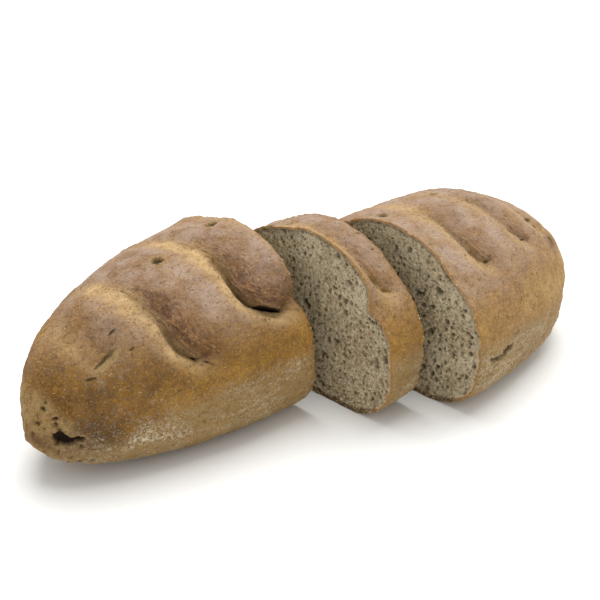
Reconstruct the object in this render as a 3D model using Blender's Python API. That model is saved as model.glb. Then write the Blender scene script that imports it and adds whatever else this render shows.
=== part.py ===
"""A rye-wheat loaf cut in three: a left half, one slice and a right half, set out in a row in their order.

Metres, +Z up. +X runs along the loaf, -Y is its front. The origin is under the middle of the row.
"""
import math

import bmesh
import bpy
import numpy as np
from mathutils import Matrix, Vector

# The whole loaf, with x measured along it from its tallest section
LOAF_WIDTH = 0.120
LOAF_HEIGHT = 0.0882
BELT_HEIGHT = 0.035  # height of the widest line
LEFT_REACH = 0.148
RIGHT_REACH = 0.1195
PLAN_POWER = (1.70, 3.40)  # how bluntly the outline closes in plan, at the left and the right end
CREST_POWER = (2.80, 2.40)  # the same for the height of the crest
DOME_POWER = 1.94  # section above the belt: a plain ellipse is 2
FOOT_POWER = 3.2  # section under the belt in the middle: squarer, with round corners
FOOT_SQUARE = (1.6, 2.4)  # how much squarer it gets towards each end
FOOT_SPREAD = (1.0, 0.5)  # and how late
FOOT_RISE = (0.93, 0.61)  # how soon the underside lifts towards each end
BASE_SINK = 0.0022  # the underside is rounded this far below the board, and settles flat on it
TIP_DROP = (0.007, 0.002)  # how far the belt sinks at each end

# The two cuts, and how the pieces were slid apart
LEFT_CUT = -0.0234
SLICE_THICKNESS = 0.0221
SLICE_SLIDE = (0.0154, -0.0347)
RIGHT_SLIDE = (0.0288, -0.0586)

# Slashes across the top: depth, width of the soft bank on the outer side, swell of the lobe on the other
# side, then points of x and angle from behind the crest to the front. Angles run round the section in
# degrees: 90 at the crest, 180 at the front of the belt.
SLASHES = (
    (0.0012, 0.0090, 0.0016, ((-0.129, 58), (-0.127, 90), (-0.124, 118), (-0.121, 135))),
    (0.0062, 0.0095, 0.0026, ((-0.104, 52), (-0.1000, 89), (-0.0980, 104), (-0.0945, 119), (-0.0915, 129), (-0.0908, 139), (-0.0890, 147), (-0.0860, 153), (-0.0815, 158))),
    (0.0076, 0.0095, 0.0030, ((-0.060, 52), (-0.0545, 88), (-0.0520, 100), (-0.0508, 113), (-0.0508, 123), (-0.0512, 130), (-0.0500, 136), (-0.0485, 140), (-0.0445, 144), (-0.0375, 147.5), (-0.0325, 149.5))),
    (0.0046, 0.0036, 0.0004, ((-0.0195, 40), (-0.0190, 90), (-0.0180, 118), (-0.0165, 133), (-0.012, 140))),
    (0.0040, 0.0090, 0.0012, ((0.0245, 52), (0.0238, 90), (0.0235, 104), (0.0222, 112), (0.0215, 120), (0.0216, 127), (0.0230, 132.5), (0.0265, 136))),
    (0.0032, 0.0090, 0.0014, ((0.052, 54), (0.0550, 90), (0.0585, 100), (0.0600, 108), (0.0604, 116), (0.0598, 122), (0.0610, 128), (0.0660, 134))),
    (0.0016, 0.0080, 0.0010, ((0.082, 60), (0.0850, 96), (0.0865, 118), (0.0890, 130))),
)
SLASH_RAMP = 0.35  # share of a slash over which it deepens from nothing
SLASH_INNER = 0.0034  # width of the steep bank under the lobe
LOBE_PLACE = 0.0130  # how far from its slash a lobe swells most

# Slow fuller and leaner places of a loaf shaped by hand: x, angle, reach, height
LUMPS = (
    (-0.131, 56, 0.012, 0.0010),
    (-0.104, 56, 0.012, 0.0012),
    (-0.074, 60, 0.014, 0.0004),
    (-0.060, 56, 0.014, 0.0010),
    (-0.028, 60, 0.010, 0.0012),
    (-0.024, 100, 0.014, 0.0028),
    (-0.024, 121, 0.012, 0.0026),
    (-0.024, 146, 0.008, -0.0060),
    (-0.030, 158, 0.014, -0.0018),
    (-0.007, 62, 0.012, -0.0020),
    (-0.001, 135, 0.012, -0.0014),
    (-0.001, 165, 0.010, 0.0010),
    (0.036, 64, 0.018, -0.0008),
)
RIPPLE = 0.0004
SECTION_RADIUS = 0.057  # turns an angle into a length on the crust

# Holes and tears: x, angle, length, width, depth, and how many degrees the length turns down from +x
LEFT_TEARS = (
    (-0.0730, 96, 0.0056, 0.0046, 0.0035, 0),
    (-0.0324, 88, 0.0066, 0.0044, 0.0030, 0),
    (-0.0404, 145.6, 0.0180, 0.0034, 0.0070, 28),
    (-0.0820, 157, 0.0046, 0.0020, 0.0024, 30),
    (-0.1188, 136, 0.0120, 0.0028, 0.0024, -16),
    (-0.1385, 182, 0.0150, 0.0056, 0.0050, 8),
)
SLICE_TEARS = ((-0.0165, 136, 0.0080, 0.0034, 0.0018, 40),)
RIGHT_TEARS = (
    (0.0047, 83, 0.0056, 0.0042, 0.0026, 0),
    (0.0463, 82, 0.0060, 0.0042, 0.0026, 0),
    (0.0886, 123, 0.0050, 0.0034, 0.0024, 0),
    (0.0205, 181.3, 0.0220, 0.0054, 0.0024, -3),
    (0.0965, 143, 0.0085, 0.0062, 0.0030, 60),
)

RING_POINTS = 66
LEFT_RINGS = 38
SLICE_RINGS = 9
RIGHT_RINGS = 36
CORE_SHARE = 0.75  # the core line that relief is pushed towards ends this far out


def by_side(x, pair):
    """The left or the right value of a pair, for each x."""
    return np.where(x < 0, pair[0], pair[1])


def taper(x, powers):
    """Share of the full size that the loaf still has at x."""
    share = np.clip(np.abs(x) / by_side(x, (LEFT_REACH, RIGHT_REACH)), 0, 1)
    power = by_side(x, powers)
    return (1 - share**power) ** (1 / power)


def signed_power(value, power):
    return np.sign(value) * np.abs(value) ** power


def smooth_loaf(x, angle):
    """The uncut loaf without its relief: points for arrays of x and angle."""
    width, height = taper(x, PLAN_POWER), taper(x, CREST_POWER)
    share = np.abs(x) / by_side(x, (LEFT_REACH, RIGHT_REACH))
    belt = BELT_HEIGHT - by_side(x, TIP_DROP) * share**4
    above = np.sin(angle) >= 0
    foot_power = FOOT_POWER + by_side(x, FOOT_SQUARE) * share ** by_side(x, FOOT_SPREAD)
    power = 2 / np.where(above, DOME_POWER, foot_power)
    across = signed_power(np.cos(angle), power)
    up = signed_power(np.sin(angle), power)
    dome = (LOAF_HEIGHT - belt) * height * up
    foot = (belt + BASE_SINK) * height ** by_side(x, FOOT_RISE) * up
    z = np.maximum(belt + np.where(above, dome, foot), 0)
    return np.stack([x, LOAF_WIDTH / 2 * width * across, z], axis=-1)


def section_angles(count):
    """Angles that space points evenly round the middle section."""
    fine = np.linspace(0, 2 * math.pi, 200 * count)
    outline = smooth_loaf(np.zeros_like(fine), fine)
    length = np.concatenate([[0], np.cumsum(np.linalg.norm(np.diff(outline, axis=0), axis=1))])
    return np.interp(np.arange(count) / count * length[-1], length, fine)


def slash_line(points):
    """A slash on the unrolled crust as a smooth line of (x, arc) points, with the share of the way at each."""
    x, angle = np.array(points).T
    corners = np.stack([x, SECTION_RADIUS * np.radians(angle)], axis=-1)
    for _ in range(2):
        near, far = corners[:-1] * 0.75 + corners[1:] * 0.25, corners[:-1] * 0.25 + corners[1:] * 0.75
        cut = np.stack([near, far], axis=1).reshape(-1, 2)
        corners = np.concatenate([corners[:1], cut[1:-1], corners[-1:]])
    length = np.linalg.norm(np.diff(corners, axis=0), axis=1)
    share = np.concatenate([[0], np.cumsum(length)]) / length.sum()
    return corners, share


def nearest_on_line(points, line, share_at):
    """Distance from each point to a line, how far along it, and its side: +1 by the lobe, -1 outside, 0 ahead."""
    start, step = line[:-1], np.diff(line, axis=0)
    away = points[:, None] - start
    share = np.clip((away * step).sum(-1) / (step**2).sum(-1), 0, 1)
    gap = away - share[..., None] * step
    distance = np.linalg.norm(gap, axis=-1)
    best = distance.argmin(axis=1)
    row = np.arange(len(points))
    side = gap[row, best, 0] * step[best, 1] - gap[row, best, 1] * step[best, 0]
    side /= np.maximum(distance[row, best] * np.linalg.norm(step[best], axis=-1), 1e-12)
    along = share_at[best] + share[row, best] * np.diff(share_at)[best]
    return distance[row, best], along, side


def slash_relief(x, angle):
    """Height of the crust over the smooth loaf, from all the slashes and the lobes beside them."""
    flat = np.stack([x.ravel(), SECTION_RADIUS * angle.ravel()], axis=-1)
    relief = np.zeros(len(flat))
    for depth, outer, swell, points in SLASHES:
        line, share = slash_line(points)
        distance, along, side = nearest_on_line(flat, line, share)
        strength = np.sin(np.clip(along / SLASH_RAMP, 0, 1) * math.pi / 2) * (0.45 + 0.55 * along)
        width = outer + (SLASH_INNER - outer) * (1 + side) / 2
        relief -= depth * strength * np.exp(-((distance / width) ** 2))
        reach = distance / LOBE_PLACE
        bulge = swell * strength * reach**2 * np.exp(1 - reach**2)
        relief += bulge * (0.625 + 0.375 * side)
    return relief.reshape(x.shape)


def lumps(x, angle):
    """The slow unevenness of a loaf shaped by hand."""
    along, arc = x / LOAF_HEIGHT, SECTION_RADIUS * angle
    wave = 0.6 * np.sin(7.3 * along + 2 * angle) + 0.4 * np.sin(11.9 * along - 3 * angle + 1.3)
    height = RIPPLE * wave * (np.sin(angle) > -0.2)
    for middle_x, middle_angle, reach, swell in LUMPS:
        gap = (x - middle_x) ** 2 + (arc - SECTION_RADIUS * math.radians(middle_angle)) ** 2
        height += swell * np.exp(-gap / reach**2)
    return height


def core_direction(points):
    """Unit vectors away from the line through the middle of the loaf."""
    middle = points.copy()
    middle[..., 0] = np.clip(points[..., 0], -CORE_SHARE * LEFT_REACH, CORE_SHARE * RIGHT_REACH)
    middle[..., 1] = 0
    middle[..., 2] = BELT_HEIGHT
    away = points - middle
    return away / np.linalg.norm(away, axis=-1, keepdims=True)


def crust_points(x, angle):
    """Points of the finished crust for arrays of x and angle."""
    points = smooth_loaf(x, angle)
    relief = slash_relief(x, angle) + lumps(x, angle)
    points = points + core_direction(points) * relief[..., None]
    points[..., 2] = np.maximum(points[..., 2], 0)
    return points


def principled(name, colour, roughness):
    material = bpy.data.materials.new(name)
    material.use_nodes = True
    shader = material.node_tree.nodes["Principled BSDF"]
    shader.inputs["Base Color"].default_value = (*colour, 1)
    shader.inputs["Roughness"].default_value = roughness
    shader.inputs["Metallic"].default_value = 0
    return material


def ring_places(start, end, count):
    """Values of x for the rings: even between two cuts, crowding together towards a tip."""
    t = np.linspace(0, 1, count)
    tip = -LEFT_REACH if start == -LEFT_REACH else RIGHT_REACH
    if tip not in (start, end):
        return start + (end - start) * t
    if tip == start:
        return end + (start - end) * np.sin(t * math.pi / 2)[::-1]
    return start + (end - start) * np.sin(t * math.pi / 2)


def add_ring(mesh, places, index, angle):
    """One ring of vertices, or a single vertex where the loaf closes at a tip."""
    if places[index] in (-LEFT_REACH, RIGHT_REACH):
        drop = TIP_DROP[0] if places[index] < 0 else TIP_DROP[1]
        return [mesh.verts.new((places[index], 0, BELT_HEIGHT - drop))]
    points = crust_points(np.full(len(angle), places[index]), angle)
    return [mesh.verts.new(point) for point in points]


def close_ring(mesh, ring, along):
    """The flat face of a cut, which shows the crumb. The tip needs none."""
    if len(ring) > 1:
        mesh.faces.new(ring[::along]).material_index = 1


def merge_base(mesh):
    """The piece rests on one flat face, where the oven floor pressed the dough flat."""
    flat = [face for face in mesh.faces if max(vertex.co.z for vertex in face.verts) < 1e-7]
    bmesh.ops.dissolve_faces(mesh, faces=flat, use_verts=True)


def add_piece(name, start, end, rings, slide, materials):
    """One piece of the loaf between two values of x, slid to its place in the row."""
    angle = section_angles(RING_POINTS)
    places = ring_places(start, end, rings)
    mesh = bmesh.new()
    loops = [add_ring(mesh, places, index, angle) for index in range(rings)]
    for first, second in zip(loops, loops[1:]):
        for i in range(RING_POINTS):
            j = (i + 1) % RING_POINTS
            corners = [first[i % len(first)], first[j % len(first)], second[j % len(second)], second[i % len(second)]]
            mesh.faces.new(dict.fromkeys(corners))
    close_ring(mesh, loops[0], -1)
    close_ring(mesh, loops[-1], 1)
    bmesh.ops.recalc_face_normals(mesh, faces=mesh.faces)
    merge_base(mesh)
    data = bpy.data.meshes.new(name)
    mesh.to_mesh(data)
    mesh.free()
    for material in materials:
        data.materials.append(material)
    data.shade_smooth()
    data.set_sharp_from_angle(angle=math.radians(50))
    piece = bpy.data.objects.new(name, data)
    piece.location = (*slide, 0)
    bpy.context.scene.collection.objects.link(piece)
    return piece


def crust_frame(x, angle, heading):
    """Place and turn of a tear: its length lies along the crust, its depth points inwards."""
    step = 1e-4
    here = Vector(crust_points(np.array([x]), np.array([angle]))[0])
    ahead = Vector(smooth_loaf(np.array([x + step]), np.array([angle]))[0])
    beside = Vector(smooth_loaf(np.array([x]), np.array([angle + step]))[0])
    base = Vector(smooth_loaf(np.array([x]), np.array([angle]))[0])
    along = (ahead - base).normalized()
    normal = along.cross(beside - base).normalized()
    if normal.dot(base - Vector((x, 0, BELT_HEIGHT))) < 0:
        normal.negate()
    along.rotate(Matrix.Rotation(-heading, 3, normal))
    turn = Matrix((along, normal.cross(along), normal)).transposed()
    return Matrix.Translation(here) @ turn.to_4x4()


def cut_tear(piece, x, angle, length, width, depth, heading):
    """Scoops a hole or tear out of the crust with a long round cutter."""
    mesh = bmesh.new()
    bmesh.ops.create_uvsphere(mesh, u_segments=12, v_segments=8, radius=1)
    mesh.transform(Matrix.Diagonal((length / 2, width / 2, depth, 1)))
    mesh.transform(crust_frame(x, math.radians(angle), math.radians(heading)))
    data = bpy.data.meshes.new("tear_cutter")
    mesh.to_mesh(data)
    mesh.free()
    cutter = bpy.data.objects.new("tear_cutter", data)
    cutter.parent = piece
    cutter.hide_render = True
    cutter.display_type = "WIRE"
    bpy.context.scene.collection.objects.link(cutter)
    cut = piece.modifiers.new("tear", "BOOLEAN")
    cut.operation = "DIFFERENCE"
    cut.object = cutter


def centre_row(pieces):
    """Moves the row so that the origin is under the middle of its box."""
    corners = np.array([piece.location + vertex.co for piece in pieces for vertex in piece.data.vertices])
    middle = (corners.min(axis=0) + corners.max(axis=0)) / 2
    for piece in pieces:
        piece.location.x -= middle[0]
        piece.location.y -= middle[1]


def main():
    for old in list(bpy.data.objects):
        bpy.data.objects.remove(old)
    crust = principled("crust", (0.36, 0.20, 0.09), 0.75)
    crumb = principled("crumb", (0.30, 0.25, 0.17), 0.95)
    right_cut = LEFT_CUT + SLICE_THICKNESS
    plan = (
        ("left_half", -LEFT_REACH, LEFT_CUT, LEFT_RINGS, (0, 0), LEFT_TEARS),
        ("middle_slice", LEFT_CUT, right_cut, SLICE_RINGS, SLICE_SLIDE, SLICE_TEARS),
        ("right_half", right_cut, RIGHT_REACH, RIGHT_RINGS, RIGHT_SLIDE, RIGHT_TEARS),
    )
    pieces = []
    for name, start, end, rings, slide, tears in plan:
        piece = add_piece(name, start, end, rings, slide, (crust, crumb))
        for tear in tears:
            cut_tear(piece, *tear)
        pieces.append(piece)
    centre_row(pieces)


main()
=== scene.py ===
import math
import bpy
import numpy as np
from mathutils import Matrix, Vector


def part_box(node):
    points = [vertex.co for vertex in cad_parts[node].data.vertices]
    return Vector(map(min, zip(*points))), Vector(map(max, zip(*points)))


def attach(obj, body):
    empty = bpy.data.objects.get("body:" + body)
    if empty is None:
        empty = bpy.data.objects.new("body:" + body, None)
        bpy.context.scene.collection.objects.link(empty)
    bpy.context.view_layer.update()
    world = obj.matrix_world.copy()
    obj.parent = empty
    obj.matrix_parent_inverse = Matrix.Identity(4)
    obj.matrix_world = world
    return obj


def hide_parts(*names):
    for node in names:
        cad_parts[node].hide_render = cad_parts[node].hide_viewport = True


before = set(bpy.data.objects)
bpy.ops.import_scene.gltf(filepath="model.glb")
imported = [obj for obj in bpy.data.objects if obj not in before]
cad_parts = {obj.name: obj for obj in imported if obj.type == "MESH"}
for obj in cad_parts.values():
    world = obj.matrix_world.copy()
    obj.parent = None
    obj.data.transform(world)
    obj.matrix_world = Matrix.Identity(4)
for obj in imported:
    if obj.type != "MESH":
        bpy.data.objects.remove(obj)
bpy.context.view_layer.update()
print("frame loaded")

# the loaf that all three pieces are cut from, in metres; x runs along it from its tallest section
loaf = {
    "width": 0.120,
    "height": 0.0882,
    "belt": 0.035,  # height of the widest line
    "reach": (0.148, 0.1195),  # from the tallest section to the left and the right tip
    "plan": (1.70, 3.40),  # how bluntly each end closes in plan
    "crest": (2.80, 2.40),  # and along the crest
    "dome": 1.94,
    "foot": 3.2,
    "square": (1.6, 2.4),  # how much squarer the foot gets towards each end
    "spread": (1.0, 0.5),
    "rise": (0.93, 0.61),
    "sink": 0.0022,
    "drop": (0.007, 0.002),
    "core": 0.75,
    "roll": 0.057,  # turns an angle into a length on the crust
    "leftCut": -0.0234,
    "slice": 0.0221,
}
loaf["rightCut"] = loaf["leftCut"] + loaf["slice"]


def bySide(x, pair):
    return np.where(x < 0, pair[0], pair[1])


def taper(x, powers):
    share = np.clip(np.abs(x) / bySide(x, loaf["reach"]), 0, 1)
    power = bySide(x, powers)
    return (1 - share**power) ** (1 / power)


def signedPower(value, power):
    return np.sign(value) * np.abs(value) ** power


def easeStep(low, high, value):  # smooth 0 to 1 between low and high
    t = np.clip((value - low) / (high - low), 0, 1)
    return t * t * (3 - 2 * t)


def fade(low, high, value):  # smooth 1 to 0
    return 1 - easeStep(low, high, value)


def smoothLoaf(x, angle):  # angle 90 is the crest, 180 the front of the belt
    width, height = taper(x, loaf["plan"]), taper(x, loaf["crest"])
    share = np.abs(x) / bySide(x, loaf["reach"])
    belt = loaf["belt"] - bySide(x, loaf["drop"]) * share**4
    above = np.sin(angle) >= 0
    foot = loaf["foot"] + bySide(x, loaf["square"]) * share ** bySide(x, loaf["spread"])
    power = 2 / np.where(above, loaf["dome"], foot)
    across = signedPower(np.cos(angle), power)
    up = signedPower(np.sin(angle), power)
    over = (loaf["height"] - belt) * height * up
    under = (belt + loaf["sink"]) * height ** bySide(x, loaf["rise"]) * up
    z = np.maximum(belt + np.where(above, over, under), 0)
    return np.stack([x, loaf["width"] / 2 * width * across, z], axis=-1)


def awayFromCore(points):
    middle = points.copy()
    reach = loaf["core"] * np.array(loaf["reach"])
    middle[..., 0] = np.clip(points[..., 0], -reach[0], reach[1])
    middle[..., 1] = 0
    middle[..., 2] = loaf["belt"]
    away = points - middle
    return away / np.maximum(np.linalg.norm(away, axis=-1, keepdims=True), 1e-9)


def cellHash(cells, salt):
    mixed = cells.astype(np.int64) * np.array([73856093, 19349663, 83492791])
    value = (mixed[..., 0] ^ mixed[..., 1] ^ mixed[..., 2] ^ (salt * 2654435761)) & 0xFFFFFFFF
    value = ((value ^ (value >> 15)) * 2246822519) & 0xFFFFFFFF
    value = ((value ^ (value >> 13)) * 3266489917) & 0xFFFFFFFF
    return (value ^ (value >> 16)) / 0xFFFFFFFF


def softNoise(points, size, salt):  # -1 to 1
    scaled = points / size
    base = np.floor(scaled).astype(np.int64)
    part = scaled - base
    part = part * part * (3 - 2 * part)
    total = np.zeros(len(points))
    for corner in np.ndindex(2, 2, 2):
        weight = np.prod(np.where(np.array(corner, bool), part, 1 - part), axis=-1)
        total += weight * cellHash(base + corner, salt)
    return total * 2 - 1


def layeredNoise(points, size, salt, layers=3):
    total, strength, whole = np.zeros(len(points)), 1.0, 0.0
    for layer in range(layers):
        total += strength * softNoise(points, size / 2**layer, salt + layer)
        whole += strength
        strength *= 0.55
    return total / whole


def hollows(points, cell, share, sizes, salt, flat=False):  # depth in metres and level 0 to 1 of scattered hollows
    base = np.floor(points / cell).astype(np.int64)
    deepest, level = np.zeros(len(points)), np.zeros(len(points))
    for step in np.ndindex(1 if flat else 3, 3, 3):
        cells = base + np.array(step) - np.array([0 if flat else 1, 1, 1])
        jitter = np.stack([cellHash(cells, salt + axis) for axis in range(3)], axis=-1)
        centre = (cells + 0.15 + 0.7 * jitter) * cell
        radius = sizes[0] + (sizes[1] - sizes[0]) * cellHash(cells, salt + 4) ** 2.2
        gap = points - centre
        if flat:
            gap = gap * np.array([0, 1, 1])
            turn = (cellHash(cells, salt + 6) - 0.5) * 2.4
            squeeze = 0.50 + 0.50 * cellHash(cells, salt + 7)
            side = gap[..., 1] * np.cos(turn) + gap[..., 2] * np.sin(turn)
            tall = gap[..., 2] * np.cos(turn) - gap[..., 1] * np.sin(turn)
            reach = np.hypot(side / squeeze, tall) / radius
        else:
            reach = np.linalg.norm(gap, axis=-1) / radius
        dome = np.sqrt(np.clip(1 - reach**2, 0, 1)) * (cellHash(cells, salt + 5) < share)
        deepest, level = np.maximum(deepest, radius * dome), np.maximum(level, dome)
    return deepest, level


# slashes across the top: how deep; widths of the soft bank outside and of the steep one under the lobe; swell of the
# lobe; how sharp the line at the bottom is; how pale the bank and how brown the flank; share of the length up to
# which it stays shallow; then x and angle from behind the crest to the front; lengths in millimetres
slashes = (
    (1.2, 9, 3.4, 1.6, 0.0, 0.30, 0.10, 0.66,
     ((-129, 58), (-127, 90), (-124, 118), (-121, 135))),
    (6.2, 9.5, 2.8, 2.6, 0.8, 1.0, 1.0, 0.80,
     ((-104, 52), (-100, 89), (-98, 104), (-94.5, 119), (-91.5, 129), (-90.8, 139), (-89, 147),
      (-86, 153), (-81.5, 158))),
    (7.6, 9.5, 2.6, 3, 1.0, 1.0, 1.0, 0.70,
     ((-60, 52), (-54.5, 88), (-52, 100), (-50.8, 113), (-50.8, 123), (-51.2, 130), (-50, 136),
      (-48.5, 140), (-44.5, 144), (-37.5, 147.5), (-32.5, 149.5))),
    (4.6, 3.6, 4.6, 0.4, 0.0, 0.55, 0.20, 0.66,
     ((-19.5, 40), (-19, 90), (-18, 118), (-16.5, 133), (-12, 140))),
    (4, 9, 3.4, 1.2, 0.45, 0.60, 0.40, 0.66,
     ((24.5, 52), (23.8, 90), (23.5, 104), (22.2, 112), (21.5, 120), (21.6, 127), (23, 132.5),
      (26.5, 136))),
    (3.2, 9, 3.6, 1.4, 0.25, 0.45, 0.35, 0.66,
     ((52, 54), (55, 90), (58.5, 100), (60, 108), (60.4, 116), (59.8, 122), (61, 128),
      (66, 134))),
    (1.6, 8, 3.4, 1, 0.0, 0.15, 0.15, 0.66,
     ((82, 60), (85, 96), (86.5, 118), (89, 130))),
)
slashLook = {
    "ramp": 0.35,  # share of the length over which a slash deepens from nothing
    "easeOnTop": 0.42,  # how much shallower a slash is over the crest, where it has opened wide
    "easeInFront": 0.40,  # and how much shallower a sharp one is in front
    "topWidth": 0.0052,  # how much wider the steep bank is over the crest
    "frontWidth": 0.30,  # share by which the soft bank narrows in front
    "lobePlace": 0.0130,  # how far from its slash a lobe swells most
    "crease": 0.0021,  # extra depth of the sharp line at the bottom
    "creaseWidth": 0.0014,
    "tuck": 0.0015,  # how far the lobe leans over that line
    "tuckPlace": 0.003,
    "bankPlace": 0.0034,  # the pale bank: how far off the line, how wide over the crest, how much less in front
    "bankWidth": 0.0068,
    "bankLess": 0.0022,
    "flankReach": 0.0120,  # the brown flank, and the wrinkles on it, end this far up the lobe
    "wrinkleReach": (0.0080, 0.0140),
    "shadeReach": (0.0034, 0.0008),  # under the lobe and away from it
    "length": 0.08,  # of a slash, for the wrinkles that run along it
}
lumps = (  # x, angle, reach, height; lengths in millimetres
    (-131, 56, 12, 1),
    (-104, 56, 12, 1.2),
    (-74, 60, 14, 0.4),
    (-60, 56, 14, 1),
    (-28, 60, 10, 1.2),
    (-24, 100, 14, 2.8),
    (-24, 121, 12, 2.6),
    (-24, 146, 8, -6),
    (-30, 158, 14, -1.8),
    (-7, 62, 12, -2),
    (-1, 135, 12, -1.4),
    (-1, 165, 10, 1),
    (36, 64, 18, -0.8),
)


def slashLine(points):
    x, angle = np.array(points).T
    corners = np.stack([x / 1000, loaf["roll"] * np.radians(angle)], axis=-1)
    for _ in range(2):
        near, far = corners[:-1] * 0.75 + corners[1:] * 0.25, corners[:-1] * 0.25 + corners[1:] * 0.75
        cut = np.stack([near, far], axis=1).reshape(-1, 2)
        corners = np.concatenate([corners[:1], cut[1:-1], corners[-1:]])
    length = np.linalg.norm(np.diff(corners, axis=0), axis=1)
    return corners, np.concatenate([[0], np.cumsum(length)]) / length.sum()


def nearestOnLine(points, line, shareAt):
    start, step = line[:-1], np.diff(line, axis=0)
    away = points[:, None] - start
    share = np.clip((away * step).sum(-1) / (step**2).sum(-1), 0, 1)
    gap = away - share[..., None] * step
    distance = np.linalg.norm(gap, axis=-1)
    best = distance.argmin(axis=1)
    row = np.arange(len(points))
    side = gap[row, best, 0] * step[best, 1] - gap[row, best, 1] * step[best, 0]
    side /= np.maximum(distance[row, best] * np.linalg.norm(step[best], axis=-1), 1e-12)
    along = shareAt[best] + share[row, best] * np.diff(shareAt)[best]
    return distance[row, best], along, side, gap[row, best]


def bell(distance, reach):
    return np.exp(-((distance / reach) ** 2))


def slashField(x, angle):  # relief, sideways pull, and where the pale bank and the brown flank are
    flat = np.stack([x, loaf["roll"] * angle], axis=-1)
    field = {name: np.zeros(len(x)) for name in ("relief", "bank", "flank", "lines", "crease", "across", "along")}
    pull = np.zeros((len(x), 2))
    nearest = np.full(len(x), 1.0)
    look = slashLook
    for *lengths, sharp, pale, brown, until, points in slashes:
        depth, outer, inner, swell = (length / 1000 for length in lengths)
        line, shareAt = slashLine(points)
        distance, along, side, gap = nearestOnLine(flat, line, shareAt)
        inside, outside = (1 + side) / 2, (1 - side) / 2  # under the lobe, and away from it
        onTop = easeStep(0.10, 0.28, along) * fade(until - 0.22, until, along)
        strength = np.sin(np.clip(along / look["ramp"], 0, 1) * math.pi / 2) * (0.45 + 0.55 * along)
        strength *= 1 - look["easeOnTop"] * onTop
        strength *= 1 - look["easeInFront"] * (sharp > 0) * easeStep(0.45, 0.65, along)
        steep = inner + look["topWidth"] * fade(0.34, 0.62, along)
        soft = outer * (1 - look["frontWidth"] * easeStep(0.5, 0.8, along))
        field["relief"] -= depth * strength * bell(distance, soft * outside + steep * inside)
        reach = distance / look["lobePlace"]
        field["relief"] += swell * strength * reach**2 * np.exp(1 - reach**2) * (0.25 + 0.75 * inside)
        low = easeStep(until - 0.28, until + 0.08, along) * sharp
        field["relief"] -= look["crease"] * low * bell(distance, look["creaseWidth"])
        reach = distance / look["tuckPlace"]
        lean = look["tuck"] * low * reach * np.exp(1 - reach) * inside**2
        pull -= lean[:, None] * gap / np.maximum(distance, 1e-6)[:, None]
        shift = look["bankPlace"] * easeStep(0.30, 0.60, along)
        wide = look["bankWidth"] - look["bankLess"] * easeStep(0.45, 0.75, along)
        band = outside * bell(distance - shift, wide) + inside * bell(distance, 0.55 * wide)
        field["bank"] = np.maximum(field["bank"], pale * easeStep(0.02, 0.25, along) * band)
        flank = inside**2 * easeStep(0.0006, 0.0030, distance) * bell(distance, look["flankReach"])
        flank *= brown * easeStep(0.30, 0.65, along)
        field["flank"] = np.maximum(field["flank"], flank)
        field["lines"] = np.maximum(field["lines"], flank * fade(*look["wrinkleReach"], distance))
        shade = inside * bell(distance, look["shadeReach"][0]) + outside * bell(distance, look["shadeReach"][1])
        field["crease"] = np.maximum(field["crease"], low * shade)
        closer = distance < nearest
        nearest = np.where(closer, distance, nearest)
        field["across"] = np.where(closer, distance * np.sign(side), field["across"])
        field["along"] = np.where(closer, along * look["length"], field["along"])
    field["pull"] = pull
    return field


def onSpot(x, angle, middleX, middleAngle, reachX, reachArc=None):  # 1 in the middle of a spot, 0 away from it
    arc = 1000 * loaf["roll"] * (angle - math.radians(middleAngle))
    return bell(1000 * x - middleX, reachX) * bell(arc, reachArc or reachX)


def lumpHeight(x, angle):
    along = x / loaf["height"]
    wave = 0.6 * np.sin(7.3 * along + 2 * angle) + 0.4 * np.sin(11.9 * along - 3 * angle + 1.3)
    height = 0.0004 * wave * (np.sin(angle) > -0.2)
    for middleX, middleAngle, reach, swell in lumps:
        height += swell / 1000 * onSpot(x, angle, middleX, middleAngle, reach)
    return height


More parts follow.
